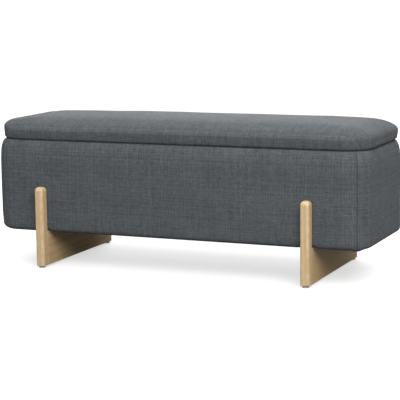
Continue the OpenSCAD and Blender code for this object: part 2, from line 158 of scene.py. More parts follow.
# Sawn wood as a solid pattern: growth rings round a far-off pith, bent by slow noise, with
# fibres and short pores drawn out along the grain, which runs along the vector's Z.
grain, grain_in, grain_out = new_group(
    "wood_grain",
    [("Vector", "Vector", None), ("Pale", "Color", (0.6, 0.45, 0.3, 1)),
     ("Dark", "Color", (0.4, 0.28, 0.16, 1)), ("Ring width", "Float", 0.005)],
    [("Colour", "Color"), ("Height", "Float"), ("Roughness", "Float")])
slow = noise(grain, grain_in["Vector"], (14, 14, 1.6), 3.0)
ring_bend, trunk_taper, pith_place, late_wood = (0.022, 0.022, 0.0), 0.012, (0.31, 0.17, 0.0), 2.6
bent = offset(grain, slow, ring_bend)
across = put(grain, "VectorMath", put(grain, "VectorMath", grain_in["Vector"], bent,
             operation="ADD"), (1.0, 1.0, trunk_taper), operation="MULTIPLY")
from_pith = put(grain, "VectorMath", across, pith_place, operation="DISTANCE").outputs["Value"]
ring = calc(grain, "FRACT", calc(grain, "DIVIDE", from_pith, grain_in["Ring width"]))
late = calc(grain, "POWER", ring, late_wood)
fibre = noise(grain, grain_in["Vector"], (900, 900, 26))
pores = span(grain, noise(grain, grain_in["Vector"], (1500, 1500, 90), 1.0), 0.60, 0.72)
patch = noise(grain, grain_in["Vector"], (30, 30, 4))
ring_share, fibre_share, patch_share, pore_share = 0.42, 0.5, 0.42, 0.35
tone = calc(grain, "ADD", calc(grain, "MULTIPLY", late, ring_share),
            calc(grain, "ADD", calc(grain, "MULTIPLY", fibre, fibre_share),
                 calc(grain, "MULTIPLY", patch, patch_share)))
tone = span(grain, tone, 0.30, 1.05)
wood = mix_colour(grain, tone, grain_in["Pale"], grain_in["Dark"])
wood = mix_colour(grain, calc(grain, "MULTIPLY", pores, pore_share), wood, grain_in["Dark"])
join(grain, wood, grain_out["Colour"])
join(grain, calc(grain, "SUBTRACT", calc(grain, "MULTIPLY", fibre, 0.5),
                 calc(grain, "MULTIPLY", pores, 0.6)), grain_out["Height"])
join(grain, span(grain, tone, 0.0, 1.0, 0.38, 0.52), grain_out["Roughness"])


def wooden(name, pale, dark, ring_width, turn, relief_depth, **shader_values):
    """A wood whose grain runs along the Z of the turned object coordinates."""
    material, tree, shader = new_material(name, **shader_values)
    vector = put(tree, "Mapping", in_object(tree), Rotation=turn)
    figure = put(tree, "Group", vector, node_tree=grain, Pale=pale, Dark=dark,
                 Ring_width=ring_width)
    join(tree, figure.outputs["Colour"], shader["Base Color"])
    join(tree, figure.outputs["Roughness"], shader["Roughness"])
    relief(tree, shader, figure.outputs["Height"], 0.5, relief_depth)
    return material


quarter = math.pi / 2
raw_board = wooden("raw_board", (0.52, 0.35, 0.19, 1), (0.33, 0.2, 0.1, 1), 0.012,
                   (0, quarter, 0), 0.0003)
dress(raw_board, "bottom_panel", "front_panel", "rear_panel", "end_panel_left",
      "end_panel_right", "corner_posts", "lid_board")

# Bright zinc over steel, for every screw, bolt, hinge and stay: a fine mottle of plating
# crystals, with duller patches where hands and tools have been.
zinc, zinc_tree, zinc_shader = new_material("zinc_steel", Metallic=1.0)
zinc_place = in_object(zinc_tree)
crystals = put(zinc_tree, "TexVoronoi", zinc_place, Scale=900.0)
smears = put(zinc_tree, "TexNoise", zinc_place, Scale=45.0, Detail=4.0)
tint(zinc_tree, zinc_shader, crystals.outputs["Color"], (0.50, 0.51, 0.52, 1),
     (0.66, 0.67, 0.67, 1))
gloss(zinc_tree, zinc_shader, smears, 0.26, 0.46)
relief(zinc_tree, zinc_shader, smears, 0.2, 0.0002)
dress(zinc, "carcass_screws")

# ---- foam ----
# Sheets of open-cell foam 20 mm thick, glued round the four sides and the corners. They soften
# the boards, and their cut edges are drawn in over the rim and under the bottom.
foam, foam_tree, foam_shader = new_material("open_cell_foam", Roughness=0.95)
foam_place = in_object(foam_tree)
cells = put(foam_tree, "TexVoronoi", foam_place, Scale=700.0)
yellowing = put(foam_tree, "TexNoise", foam_place, Scale=9.0, Detail=3.0)
foam_colour = mix_colour(foam_tree, yellowing, (0.80, 0.74, 0.56, 1), (0.72, 0.62, 0.40, 1))
tint(foam_tree, foam_shader, span(foam_tree, cells, 0.0, 0.6, 0.4, 0.0), foam_colour,
     (0.42, 0.35, 0.2, 1))
relief(foam_tree, foam_shader, cells, 0.7, 0.0008)


def point_values(mesh, name, values):
    """Writes a value for each point, which a material can read by name."""
    mesh.attributes.new(name, "FLOAT", "POINT").data.foreach_set(
        "value", values.astype(np.float32).ravel())


def piece(name, points, corners, material, body, weave_map=None, seam_shade=None):
    """A mesh piece from points and the point numbers of each face, with a map in metres and a
    0 to 1 seam_shade value for each point where they are given: the darkening along a seam, partly
    the dark seam itself and partly painted shade in its groove."""
    mesh = bpy.data.meshes.new(name)
    mesh.from_pydata(points.reshape(-1, 3).tolist(), [], corners.tolist())
    mesh.polygons.foreach_set("use_smooth", np.ones(len(mesh.polygons), bool))
    if weave_map is not None:
        at = np.empty(len(mesh.loops), int)
        mesh.loops.foreach_get("vertex_index", at)
        layer = mesh.uv_layers.new(name="weave")
        layer.uv.foreach_set("vector", weave_map.reshape(-1, 2)[at].astype(np.float32).ravel())
    if seam_shade is not None:
        point_values(mesh, "seam_shade", seam_shade)
    mesh.materials.append(material)
    made = bpy.data.objects.new(name, mesh)
    bpy.context.scene.collection.objects.link(made)
    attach(made, body)
    return made


def weld(made):
    """Merges the points of a piece that share a place, which closes its seams and poles."""
    shape = bmesh.new()
    shape.from_mesh(made.data)
    bmesh.ops.remove_doubles(shape, verts=shape.verts, dist=1e-5)
    shape.to_mesh(made.data)
    shape.free()


def grid_corners(rows, columns, joined=False):
    """Faces of a grid of points, row by row; joined closes the last column on the first."""
    at = np.arange(rows * columns).reshape(rows, columns)
    if joined:
        at = np.concatenate([at, at[:, :1]], axis=1)
    return np.stack([at[:-1, :-1], at[:-1, 1:], at[1:, 1:], at[1:, :-1]], axis=-1).reshape(-1, 4)


def ring_of_rows(rows, columns):
    """Faces of a grid whose last row joins its first, which makes a tube along the columns."""
    at = np.arange(rows * columns).reshape(rows, columns)
    at = np.concatenate([at, at[:1]])
    return np.stack([at[:-1, :-1], at[:-1, 1:], at[1:, 1:], at[1:, :-1]], axis=-1).reshape(-1, 4)


def close_ends(made):
    """Fills the open ends of a tube with flat faces, and turns all its faces outwards."""
    shape = bmesh.new()
    shape.from_mesh(made.data)
    ends = [edge for edge in shape.edges if edge.is_boundary]
    for edge in ends:
        edge.smooth = False
    bmesh.ops.holes_fill(shape, edges=ends, sides=0)
    bmesh.ops.recalc_face_normals(shape, faces=shape.faces)
    shape.to_mesh(made.data)
    shape.free()


def bend(centre, radii, start, end, count):
    """Points on an ellipse about centre, from the start angle to the end angle in degrees."""
    a = np.radians(np.linspace(start, end, count))
    return np.stack([centre[0] + radii[0] * np.cos(a), centre[1] + radii[1] * np.sin(a)], axis=-1)


def line(start, end, step):
    """Points from start to end, about a step apart."""
    count = max(2, round(math.dist(start, end) / step) + 1)
    return np.linspace(start, end, count)


def chain(*parts):
    """Lines and bends joined end to end, each shared end kept once."""
    return np.concatenate([parts[0]] + [part[1:] for part in parts[1:]])


def lengths(points):
    """Distance run along a chain of points, from its first point."""
    steps = np.linalg.norm(np.diff(points, axis=0), axis=-1)
    return np.concatenate([[0.0], np.cumsum(steps)])


def side_path(core, radius, facing, sweep, q):
    """Path along one side of a rectangle with round corners. facing is the direction that the
    side looks in, and sweep how far round each corner the path reaches, both in degrees. At
    the distance q it gives the centre that the path turns about and the direction it faces:
    first round one corner, then straight along the side, then round the next corner."""
    a, h = math.radians(facing), math.radians(sweep)
    out, along = np.array([math.cos(a), math.sin(a)]), np.array([-math.sin(a), math.cos(a)])
    reach, length = abs(core @ out), abs(core @ along)
    arc = h * radius
    turned = (np.minimum(q, arc) - arc + np.maximum(q - arc - 2 * length, 0)) / radius
    slid = np.clip(q - arc, 0, 2 * length) - length
    return out * reach + along * slid[:, None], a + turned


def side_length(core, radius, facing, sweep):
    """Length of a side_path."""
    a = math.radians(facing)
    length = abs(core @ np.array([-math.sin(a), math.cos(a)]))
    return 2 * (length + math.radians(sweep) * radius)


def heading(angle):
    """The direction in plan, as (x, y), for each angle."""
    return np.stack([np.cos(angle), np.sin(angle)], axis=-1)


def sweep_along(centre, angle, profile):
    """Points of a profile, as (out, up), set up along a path. Rows follow the profile."""
    out = heading(angle)
    plan = centre[None] + out[None] * profile[:, 0, None, None]
    up = np.broadcast_to(profile[:, 1, None, None], plan.shape[:2] + (1,))
    return np.concatenate([plan, up], axis=-1)


def smooth_step(value, start, end):
    """0 up to start, 1 from end on, and a smooth rise between them."""
    t = np.clip((value - start) / (end - start), 0, 1)
    return t * t * (3 - 2 * t)


# Sizes of the box in plan and height, of its bottom roll and its rim roll, and how far the
# cloth is turned in below. The well's corners have their own radius, and the face leans in
# by roll_deeper near the rim.
box_half = np.array([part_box("cover_end_right")[1][0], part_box("cover_rear")[1][1]])
under_z, rim_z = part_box("cover_front")[0][2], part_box("cover_front")[1][2]
corner_r, base_roll, rim_in, rim_drop, turned_in = 0.070, 0.014, 0.016, 0.036, 0.030
well_r, roll_deeper = 0.0335, 0.0028
core = box_half - corner_r


def rolled_edge(inset):
    """Outer section of the box as (out from the corner centre, z), inset inside its face:
    round the bottom edge, up the face and over the rim. The top half of the face leans in a
    little as it rises, by a smooth step, as foam pulled down over an edge does."""
    section = chain(
        bend((corner_r - base_roll, under_z + base_roll), (base_roll - inset,) * 2, -90, 0, 9),
        line((corner_r - inset, under_z + base_roll), (corner_r - inset, rim_z - rim_drop), 0.0048),
        bend((corner_r - rim_in, rim_z - rim_drop), (rim_in - inset, rim_drop - inset), 0, 90, 13))
    lean = smooth_step(section[:, 1], rim_z - 0.075, rim_z - 0.006)
    section[:, 0] -= roll_deeper * lean * (section[:, 0] > corner_r - rim_in - 0.0001)
    return section


# The foam lies 3 mm inside the cover's face and stands against the boards behind it. Each side
# takes the straight part of its path, and the corner after it is one of the corner blocks.
foam_inset, corner_arc = 0.003, quarter * corner_r
board_r = corner_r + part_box("corner_posts")[1][0] - box_half[0]
foam_section = rolled_edge(foam_inset)[:-2]
foam_loop = chain(np.array([[board_r, under_z + foam_inset]]), foam_section,
                  np.array([[board_r, foam_section[-1, 1]]]))
corner_points = []
for name, facing in (("foam_front", -90), ("foam_end_right", 0), ("foam_rear", 90),
                     ("foam_end_left", 180)):
    total = side_length(core, corner_r, facing, 90)
    straight, turning = (sweep_along(*side_path(core, corner_r, facing, 90, q), foam_loop) for q in (
        np.linspace(corner_arc, total - corner_arc, 40),
        np.linspace(total - corner_arc, total, 14)))
    corner_points.append(turning)
    strip = piece(name + "_strip", straight, ring_of_rows(*straight.shape[:2]), foam, "base")
    close_ends(strip)
    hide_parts(name)
rows, columns = corner_points[0].shape[:2]
corner_faces = np.concatenate([ring_of_rows(rows, columns) + k * rows * columns for k in range(4)])
corner_foam = piece("foam_corner_blocks", np.stack(corner_points), corner_faces, foam, "base")
close_ends(corner_foam)
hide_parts("foam_corners")

# ---- box covers ----
# A cover of charcoal linen-look cloth, sewn from a front, a rear and two end pieces.
# It is pulled over the foam, turned in over the rim and under the bottom, and stapled.

# Plain-woven cloth on a map in metres. Threads are counted by whole numbers both ways; each
# has its own shade and slow thick and thin places, and the odd and even crossings take turns
# on top. Bands of a few threads run lighter or darker, as in linen.
weave, weave_in, weave_out = new_group(
    "woven_cloth",
    [("Vector", "Vector", None), ("Threads", "Float", 550.0),
     ("Dark", "Color", (0.05, 0.055, 0.06, 1)), ("Light", "Color", (0.15, 0.16, 0.17, 1)),
     ("Slub", "Float", 1.0)],
    [("Colour", "Color"), ("Height", "Float"), ("Roughness", "Float")])
counted = put(weave, "VectorMath", weave_in["Vector"], operation="SCALE",
              Scale=weave_in["Threads"])
stray = (1.6, 1.6, 0.0)
wander = offset(weave, put(weave, "TexNoise", counted, Scale=0.07, Detail=2.0), stray)
place = put(weave, "SeparateXYZ", put(weave, "VectorMath", counted, wander, operation="ADD"))
warp_n, weft_n = (calc(weave, "FLOOR", place.outputs[i]) for i in (0, 1))
warp_w, weft_w = (calc(weave, "SINE", calc(weave, "MULTIPLY", calc(
    weave, "FRACT", place.outputs[i]), math.pi)) for i in (0, 1))
on_top = calc(weave, "MODULO", calc(weave, "ABSOLUTE", calc(weave, "ADD", warp_n, weft_n)), 2.0)

# How much of a thread's shade is its own, how much its thick and thin places, and how much
# the band it lies in.
own_share, slub_share, band_share = 0.34, 0.60, 0.06


def thread_shade(number, along, seed):
    """The shade of a set of threads, 0 to 1: one value a thread, plus noise that changes along
    it within a few threads' width, plus slow noise that neighbouring threads share."""
    own = put(weave, "TexWhiteNoise", noise_dimensions="1D", W=calc(weave, "ADD", number, seed))
    path = put(weave, "CombineXYZ", calc(weave, "MULTIPLY", number, 1.73),
               calc(weave, "MULTIPLY", along, 0.10), seed)
    slub = put(weave, "TexNoise", path, Scale=1.0, Detail=1.0)
    band = put(weave, "CombineXYZ", calc(weave, "MULTIPLY", number, 0.30),
               calc(weave, "MULTIPLY", along, 0.012), seed + 3.0)
    bands = put(weave, "TexNoise", band, Scale=1.0, Detail=1.0)
    lean = calc(weave, "ADD", calc(weave, "MULTIPLY", own, own_share),
                calc(weave, "MULTIPLY", span(weave, slub, 0.3, 0.72), slub_share))
    return calc(weave, "ADD", lean, calc(weave, "MULTIPLY", span(weave, bands, 0.3, 0.7),
                                         band_share))


warp_shade = thread_shade(warp_n, place.outputs[1], 11.5)
weft_shade = thread_shade(weft_n, place.outputs[0], 47.5)
warp_up = calc(weave, "MULTIPLY", warp_w, calc(weave, "MULTIPLY_ADD", weft_w, 0.5, 0.5))
weft_up = calc(weave, "MULTIPLY", weft_w, calc(weave, "MULTIPLY_ADD", warp_w, 0.5, 0.5))
height = put(weave, "Mix", on_top, None, warp_up, weft_up)
shade = put(weave, "Mix", on_top, None, warp_shade, weft_shade)
shade = calc(weave, "MULTIPLY", calc(weave, "SUBTRACT", shade, 0.5), weave_in["Slub"])
# Painted light and shade: each thread's colour is lighter where it rises over a crossing and darker
# where it dips between threads.
round_light, base_tone = 0.42, 0.24
body = calc(weave, "MULTIPLY_ADD", height, round_light, base_tone)
cloth_tone = calc(weave, "MAXIMUM", calc(weave, "ADD", body, shade), 0.0)
join(weave, mix_colour(weave, calc(weave, "MINIMUM", cloth_tone, 1.0), weave_in["Dark"],
                       weave_in["Light"]), weave_out["Colour"])
join(weave, calc(weave, "MULTIPLY_ADD", shade, 0.35, height), weave_out["Height"])
join(weave, span(weave, cloth_tone, 0.0, 1.0, 0.95, 0.82), weave_out["Roughness"])

fabric, fabric_tree, fabric_shader = new_material(
    "charcoal_linen_look", Sheen_Weight=0.05, Sheen_Roughness=0.5, Specular_IOR_Level=0.12)
linen_map = put(fabric_tree, "UVMap", uv_map="weave")
linen = put(fabric_tree, "Group", linen_map, node_tree=weave, Threads=560.0,
            Dark=(0.043, 0.049, 0.053, 1), Light=(0.143, 0.156, 0.167, 1))
blotch = span(fabric_tree, put(fabric_tree, "TexNoise", linen_map, Scale=11.0, Detail=3.0),
              0.3, 0.7, 0.94, 1.05)
linen_colour = put(fabric_tree, "VectorMath", linen.outputs["Colour"], operation="SCALE",
                   Scale=blotch)
# The cloth darkens towards near black by the seam_shade value: partly the dark sewn seam, partly
# painted shade in the seam's groove.
seam_shade = put(fabric_tree, "Attribute", attribute_name="seam_shade")
tint(fabric_tree, fabric_shader, seam_shade.outputs["Fac"], linen_colour, (0.012, 0.013, 0.014, 1))
join(fabric_tree, linen.outputs["Roughness"], fabric_shader["Roughness"])
relief(fabric_tree, fabric_shader, linen.outputs["Height"], 0.55, 0.0005)


def flat_cut(angle):
    """How much further from a round corner's centre a straight cut across the corner lies, as
    a share of the radius. The cut runs between the round's two ends, so it is 0 or less."""
    return 1 / (np.abs(np.cos(angle)) + np.abs(np.sin(angle))) - 1


def thicken(made, thickness):
    """Gives a sheet of faces its thickness, on the inner side."""
    wall = made.modifiers.new("cloth", "SOLIDIFY")
    wall.thickness, wall.offset = thickness, -1


# Section of a cover as (out from the corner centre, z): in along the underside, round the
# bottom edge, up the face, over the rolled rim, and down at the edge of the well.
seam_turn, cloth_t, edge_turn = 34, 0.0012, 0.0015
leg_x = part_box("leg_board_right")[0][0] / 2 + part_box("leg_board_right")[1][0] / 2
outer = rolled_edge(0.0)
cover_profile = chain(
    line((corner_r - turned_in, under_z), (corner_r - base_roll, under_z), 0.004), outer,
    line((outer[-1, 0], rim_z), (well_r + edge_turn, rim_z), 0.004),
    bend((well_r + edge_turn, rim_z - edge_turn), (edge_turn, edge_turn), 90, 180, 4))
cover_run = lengths(cover_profile)
slope = np.gradient(cover_profile, cover_run, axis=0)
cover_out = np.stack([slope[:, 1], -slope[:, 0]], axis=-1)
cover_out /= np.linalg.norm(cover_out, axis=-1, keepdims=True)

# How far the foam fills the cloth out, how the seams draw it in, and how far the cloth sags
# and folds at the bottom.
least_full, most_full, unevenness = 0.0004, 0.0009, 0.00022
seam_depth, seam_width, pucker_depth, pucker_reach = 0.0015, 0.0020, 0.00030, 0.009
corner_fold, fold_height, end_sag, side_sag_less, tip_drop, tip_width = (
    0.0025, 0.055, 0.0030, 0.0017, 0.0036, 0.011)
# How dark and how wide the colour is darkened along each seam (the dark seam and painted shade in
# its groove), and how far each piece's weave map is moved on.
seam_dark, seam_line, cloth_shift = 0.60, 0.0009, 0.37
for number, (side, facing, sweep, tip_at) in enumerate((
        ("front", -90, seam_turn, 0.0), ("rear", 90, seam_turn, 0.0),
        ("end_right", 0, 90 - seam_turn, 0.008), ("end_left", 180, 90 - seam_turn, 0.008))):
    total = side_length(core, corner_r, facing, sweep)
    by_seam = np.array([0, 0.3, 0.7, 1.2, 1.9, 2.8, 4.0, 5.5, 7.5]) / 1000
    q = np.concatenate([by_seam, np.linspace(0.011, total - 0.011, round(total / 0.005)),
                        total - by_seam[::-1]])
    centre, angle = side_path(core, corner_r, facing, sweep, q)
    points = sweep_along(centre, angle, cover_profile)
    z, w = points[..., 2], cover_run[:, None]
    from_seam = np.minimum(q, total - q)[None]
    corner = np.sin(2 * angle)[None] ** 2
    # Fullness of the foam: a millimetre at most over the face, least at seams and posts.
    at_post = np.exp(-((np.abs(points[..., 0]) - leg_x) / 0.05) ** 4) * (facing in (-90, 90))
    face = smooth_step(z, under_z + 0.004, under_z + 0.05) * (
        1 - smooth_step(z, rim_z - 0.06, rim_z))
    full = least_full + most_full * face * smooth_step(from_seam, 0.0, 0.07) * (1 - at_post)
    ripple = (np.sin(q * 19 + facing)[None] * np.sin(w * 23 + 1.3)
              + 0.6 * np.sin(q * 43 + w * 17 + 0.7) + 0.4 * np.sin(q * 31 - w * 58))
    full = full + unevenness * ripple * face * (1 - at_post)
    # The cloth draws down into the seam, and puckers lightly along it.
    seam = 1 - np.sqrt(1 - (1 - np.clip(from_seam / seam_width, 0, 1)) ** 2 * 0.999)
    pucker = pucker_depth * np.exp(-from_seam / pucker_reach) * np.cos(
        w * 310 + np.sin(w * 47) * 2)
    push = full - seam_depth * seam + pucker * smooth_step(from_seam, 0, 0.003)
    out = heading(angle)[None]
    points[..., :2] += (push * cover_out[:, :1])[..., None] * out
    points[..., 2] += push * cover_out[:, 1:]
    # Over the corner posts the rim cloth runs on to their flat inner faces.
    over = (1 - smooth_step(cover_profile[:, :1], well_r, corner_r - rim_in - 0.004)) * (
        z > rim_z - 0.01) * well_r * flat_cut(angle)[None]
    points[..., :2] += over[..., None] * out
    # The folded cloth squares out the right corners at the bottom and rounds off the left ones.
    folded = np.tanh(points[..., 0] / 0.1)
    low = (1 - smooth_step(z, under_z, under_z + fold_height)) * smooth_step(w, 0.0, 0.02)
    points[..., :2] += (corner * corner_fold * low * folded)[..., None] * out
    # The roll hangs a little below the bottom board, more along the long sides, and the
    # folded cloth makes a small point at each seam on the right.
    on_board = np.exp(-((np.abs(points[..., 0]) - leg_x) / 0.026) ** 6) * (facing in (-90, 90))
    long_side = np.cos(angle)[None] ** 2
    hang = (end_sag - side_sag_less * long_side) * (1 - on_board) + tip_drop * np.clip(
        folded, 0, 1) * np.exp(-((from_seam - tip_at) / tip_width) ** 2)
    points[..., 2] -= hang * np.exp(-(np.clip(z - under_z, 0, None) / 0.012) ** 2) * smooth_step(
        w, 0.0, 0.016)
    # Painted shade along each seam, partly the dark seam itself: darkest on the seam line and gone
    # within a few millimetres.
    seam_shade_mask = np.clip(seam_dark * np.exp(-(from_seam / seam_line) ** 2) + 0 * w, 0, 1)
    weave_map = np.stack(np.broadcast_arrays(q[None] + cloth_shift * number, w), axis=-1)
    cover = piece("cover_" + side + "_cloth", points, grid_corners(*points.shape[:2]), fabric,
                  "base", weave_map, seam_shade_mask)
    thicken(cover, cloth_t)
    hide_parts("cover_" + side)

# ---- well lining ----
# One black woven lining, folded into the box and stapled under the rim cloth.
# Its floor lies on the bottom board with a few soft ripples.
lining, lining_tree, lining_shader = new_material(
    "black_lining", Sheen_Weight=0.1, Sheen_Roughness=0.5, Specular_IOR_Level=0.3)
lining_map = put(lining_tree, "UVMap", uv_map="weave")
poplin = put(lining_tree, "Group", lining_map, node_tree=weave, Threads=1400.0, Slub=0.6,
             Dark=(0.012, 0.012, 0.013, 1), Light=(0.040, 0.041, 0.044, 1))
lint = span(lining_tree, put(lining_tree, "TexNoise", lining_map, Scale=420.0, Detail=2.0),
            0.68, 0.78, 0.0, 0.12)
tint(lining_tree, lining_shader, lint, poplin.outputs["Colour"], (0.22, 0.22, 0.22, 1))
join(lining_tree, poplin.outputs["Roughness"], lining_shader["Roughness"])
relief(lining_tree, lining_shader, poplin.outputs["Height"], 0.4, 0.0002)


def ring_path(core, radius, step):
    """Closed path round the rectangle: four sides that meet half way round each corner."""
    centres, angles = [], []
    for facing in (-90, 0, 90, 180):
        total = side_length(core, radius, facing, 45)
        q = np.linspace(0, total, max(8, round(total / step)), endpoint=False)
        centre, angle = side_path(core, radius, facing, 45, q)
        centres.append(centre)
        angles.append(angle)
    return np.concatenate(centres), np.concatenate(angles)


def closed_piece(name, points, material, body, weave_map=None):
    """A mesh piece from rows of points that each run right round it."""
    made = piece(name, points, grid_corners(*points.shape[:2], joined=True), material, body,
                 weave_map)
    weld(made)
    return made


def drawn_in(rim, reach, shares):
    """Rows that carry a closed rim inwards, by the shares given, to a line along X that runs
    from -reach to reach."""
    spine = np.stack([np.clip(rim[:, 0], -reach, reach), 0 * rim[:, 0], rim[:, 2]], axis=-1)
    return rim[None] * (1 - shares) + spine[None] * shares


floor_z, lining_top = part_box("well_lining")[0][2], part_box("well_lining")[1][2]
fold_r, lining_t, above_top, above_floor = 0.007, 0.0008, 0.0005, 0.001
wall_face = well_r - lining_t
lining_profile = chain(
    line((wall_face, lining_top + above_top), (wall_face, floor_z + fold_r), 0.007),
    bend((wall_face - fold_r, floor_z + above_floor + fold_r), (fold_r, fold_r), 0, -90, 7),
    line((wall_face - fold_r, floor_z + above_floor), (0.004, floor_z + above_floor), 0.005))
centre, angle = ring_path(core, well_r, 0.008)
walls = sweep_along(centre, angle, lining_profile)
# The corner posts are flat inside, so the lining cuts straight across each corner.
post_gap = 0.0004
shift = (wall_face * flat_cut(angle) - post_gap * np.sin(2 * angle) ** 2)[None]
walls[..., 0] += shift * np.cos(angle)
walls[..., 1] += shift * np.sin(angle)
inwards = np.linspace(0, 1, 26)[1:, None, None]
points = np.concatenate([walls, drawn_in(walls[-1], core[0] - core[1], inwards)])
run = np.concatenate([lengths(lining_profile), lengths(lining_profile)[-1]
                      + core[1] * inwards.ravel()])[:, None]
around = np.concatenate([[0], np.cumsum(np.linalg.norm(np.diff(
    walls[0, :, :2], axis=0), axis=-1))])[None]
# Slow waves in the cloth: slight on the walls, and more on the floor, apart from the fold
# at its edge and the bolts that hold it down.
wall_wave, floor_wave = 0.00018, 0.0007
on_wall = smooth_step(points[..., 2], floor_z + 0.012, floor_z + 0.03)
fixing = np.exp(-((np.abs(points[..., 0]) - leg_x) / 0.03) ** 2)
wave = (np.sin(around * 21) * np.cos(run * 16) + np.sin(around * 9 + run * 25 + 1) * 0.7)
points[..., :2] += (on_wall * wall_wave * np.clip(wave, -1, 1))[..., None] * heading(angle)[None]
points[..., 2] += (1 - on_wall) * (1 - fixing) * floor_wave * (
    1 + np.clip(wave, -1, 1)) * smooth_step(run, 0.26, 0.32)
# The cloth's map follows the walls, and on the floor it is the plan, moved clear of the walls.
lining_uv = np.stack(np.broadcast_arrays(around, run), axis=-1).copy()
flat_part = len(walls) - 8
lining_uv[flat_part:] = points[flat_part:, :, :2] + 3.0
well = closed_piece("well_lining_cloth", points, lining, "base", lining_uv)
thicken(well, lining_t)
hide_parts("well_lining")

# ---- dust cloth ----
# A black non-woven cloth with a folded hem, stapled under the box over the edges of the
# covers. It hangs a little between the leg boards, which are bolted through it.
felt, felt_tree, felt_shader = new_material("black_felt", Roughness=0.9, Specular_IOR_Level=0.2)
felt_place = in_object(felt_tree)
dots = span(felt_tree, put(felt_tree, "TexVoronoi", felt_place, Scale=520.0, Randomness=0.25),
            0.16, 0.34)
hairs = noise(felt_tree, felt_place, (2600, 700, 1500))
felt_tone = calc(felt_tree, "MULTIPLY", dots, hairs)
tint(felt_tree, felt_shader, felt_tone, (0.010, 0.010, 0.011, 1), (0.045, 0.045, 0.048, 1))
relief(felt_tree, felt_shader, felt_tone, 0.5, 0.0003)


felt_t, staple_size, hem = 0.0006, np.array([0.0055, 0.0006, 0.00035]), 0.012


def stapled_sheet(name, half, radius, hem, z, drop, hold, body):
    """A flat cloth with round corners. Its hem is folded once, which shows as a step. z is
    its hem's outer face, drop how far it hangs in the middle, and hold the places along X
    that keep it up."""
    middle = half - radius
    centre, angle = ring_path(middle, radius, 0.010)
    section = np.array([[radius - 0.0004, 0.0006], [radius, 0.0], [radius - 0.002, -0.0003],
                        [radius - hem + 0.001, -0.0003], [radius - hem, 0.0004],
                        [radius - hem - 0.006, 0.0005]])
    edge = sweep_along(centre, angle, section)
    inwards = (np.linspace(0, 1, 22)[1:] ** 1.2)[:, None, None]
    points = np.concatenate([edge, drawn_in(edge[-1], middle[0] - middle[1], inwards)])
    x, y = points[..., 0], points[..., 1]
    loose = np.clip(1 - (y / half[1]) ** 2, 0, 1) * np.clip(1 - (x / half[0]) ** 6, 0, 1)
    for at in hold:
        loose = loose * (1 - np.exp(-((np.abs(x) - at) / 0.07) ** 2))
    ripple = 0.25 * np.sin(x * 37) * np.sin(y * 49 + x * 12)
    points[..., 2] = z - (points[..., 2] + drop * loose * (1 + ripple))
    made = piece(name, points, grid_corners(*points.shape[:2], joined=True)[:, ::-1], felt, body)
    weld(made)
    thicken(made, felt_t)
    return made


def staple_row(name, half, radius, spacing, z, body):
    """Staple crowns along a rounded rectangle: small square bars lying along its edge."""
    centre, angle = ring_path(half - radius, radius, spacing)
    out = np.stack([np.cos(angle), np.sin(angle), 0 * angle], axis=-1)
    along = np.stack([-out[:, 1], out[:, 0], 0 * angle], axis=-1)
    up = np.broadcast_to([0.0, 0.0, 1.0], out.shape)
    signs = np.array([[i, j, k] for k in (-1, 1) for j in (-1, 1) for i in (-1, 1)])
    corners = sum(signs[None, :, i, None] * staple_size[i] * way[:, None]
                  for i, way in enumerate((along, out, up)))
    middle = np.concatenate([centre + out[:, :2] * radius, np.full((len(angle), 1), z)], axis=-1)
    faces = np.array([[0, 1, 3, 2], [4, 6, 7, 5], [0, 4, 5, 1], [2, 3, 7, 6], [0, 2, 6, 4],
                      [1, 5, 7, 3]])
    numbers = faces[None] + 8 * np.arange(len(angle))[:, None, None]
    made = piece(name, middle[:, None] + corners, numbers.reshape(-1, 4), zinc, body)
    made.data.polygons.foreach_set("use_smooth", np.zeros(len(made.data.polygons), bool))
    return made


dust_half = np.array([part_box("dust_cloth")[1][0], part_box("dust_cloth")[1][1]]) + 0.006
dust = stapled_sheet("dust_cloth_sheet", dust_half, 0.046, hem, under_z - felt_t, 0.002,
                     (leg_x,), "base")
dust_staples = staple_row("dust_cloth_staples", dust_half - hem / 2, 0.040, 0.052,
                          under_z - 0.00125, "base")
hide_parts("dust_cloth")

# ---- legs ----
# Two boards of pale solid wood under the box, each with a post of the same wood dowelled and
# glued on at the front and the rear. The edges are routed round and satin lacquered.
timber_look = dict(Coat_Weight=0.08, Coat_Roughness=0.4, Specular_IOR_Level=0.32)
upright = wooden("pale_timber_upright", (0.70, 0.515, 0.290, 1), (0.50, 0.335, 0.160, 1), 0.0052,
                 (0, 0, 0), 0.0002, **timber_look)
lengthwise = wooden("pale_timber_lengthwise", (0.66, 0.47, 0.250, 1), (0.46, 0.30, 0.140, 1),
                    0.0060, (quarter, 0, 0), 0.0002, **timber_look)
# The rounded edges are painted paler in patches: partly wear through the lacquer, partly a painted
# highlight where the light catches the rounding.
for timber in (upright, lengthwise):
    tree = timber.node_tree
    base = tree.nodes["Principled BSDF"].inputs["Base Color"]
    rubbed_and_highlit = put(tree, "Attribute", attribute_name="edge")
    scuffed_and_lit = span(tree, put(tree, "TexNoise", in_object(tree), Scale=60.0, Detail=3.0),
                  0.42, 0.62, 0.0, 0.45)
    pale_edge = mix_colour(tree, calc(tree, "MULTIPLY", rubbed_and_highlit.outputs["Fac"], scuffed_and_lit),
                           base.links[0].from_socket, (0.76, 0.61, 0.43, 1))
    join(tree, pale_edge, base)


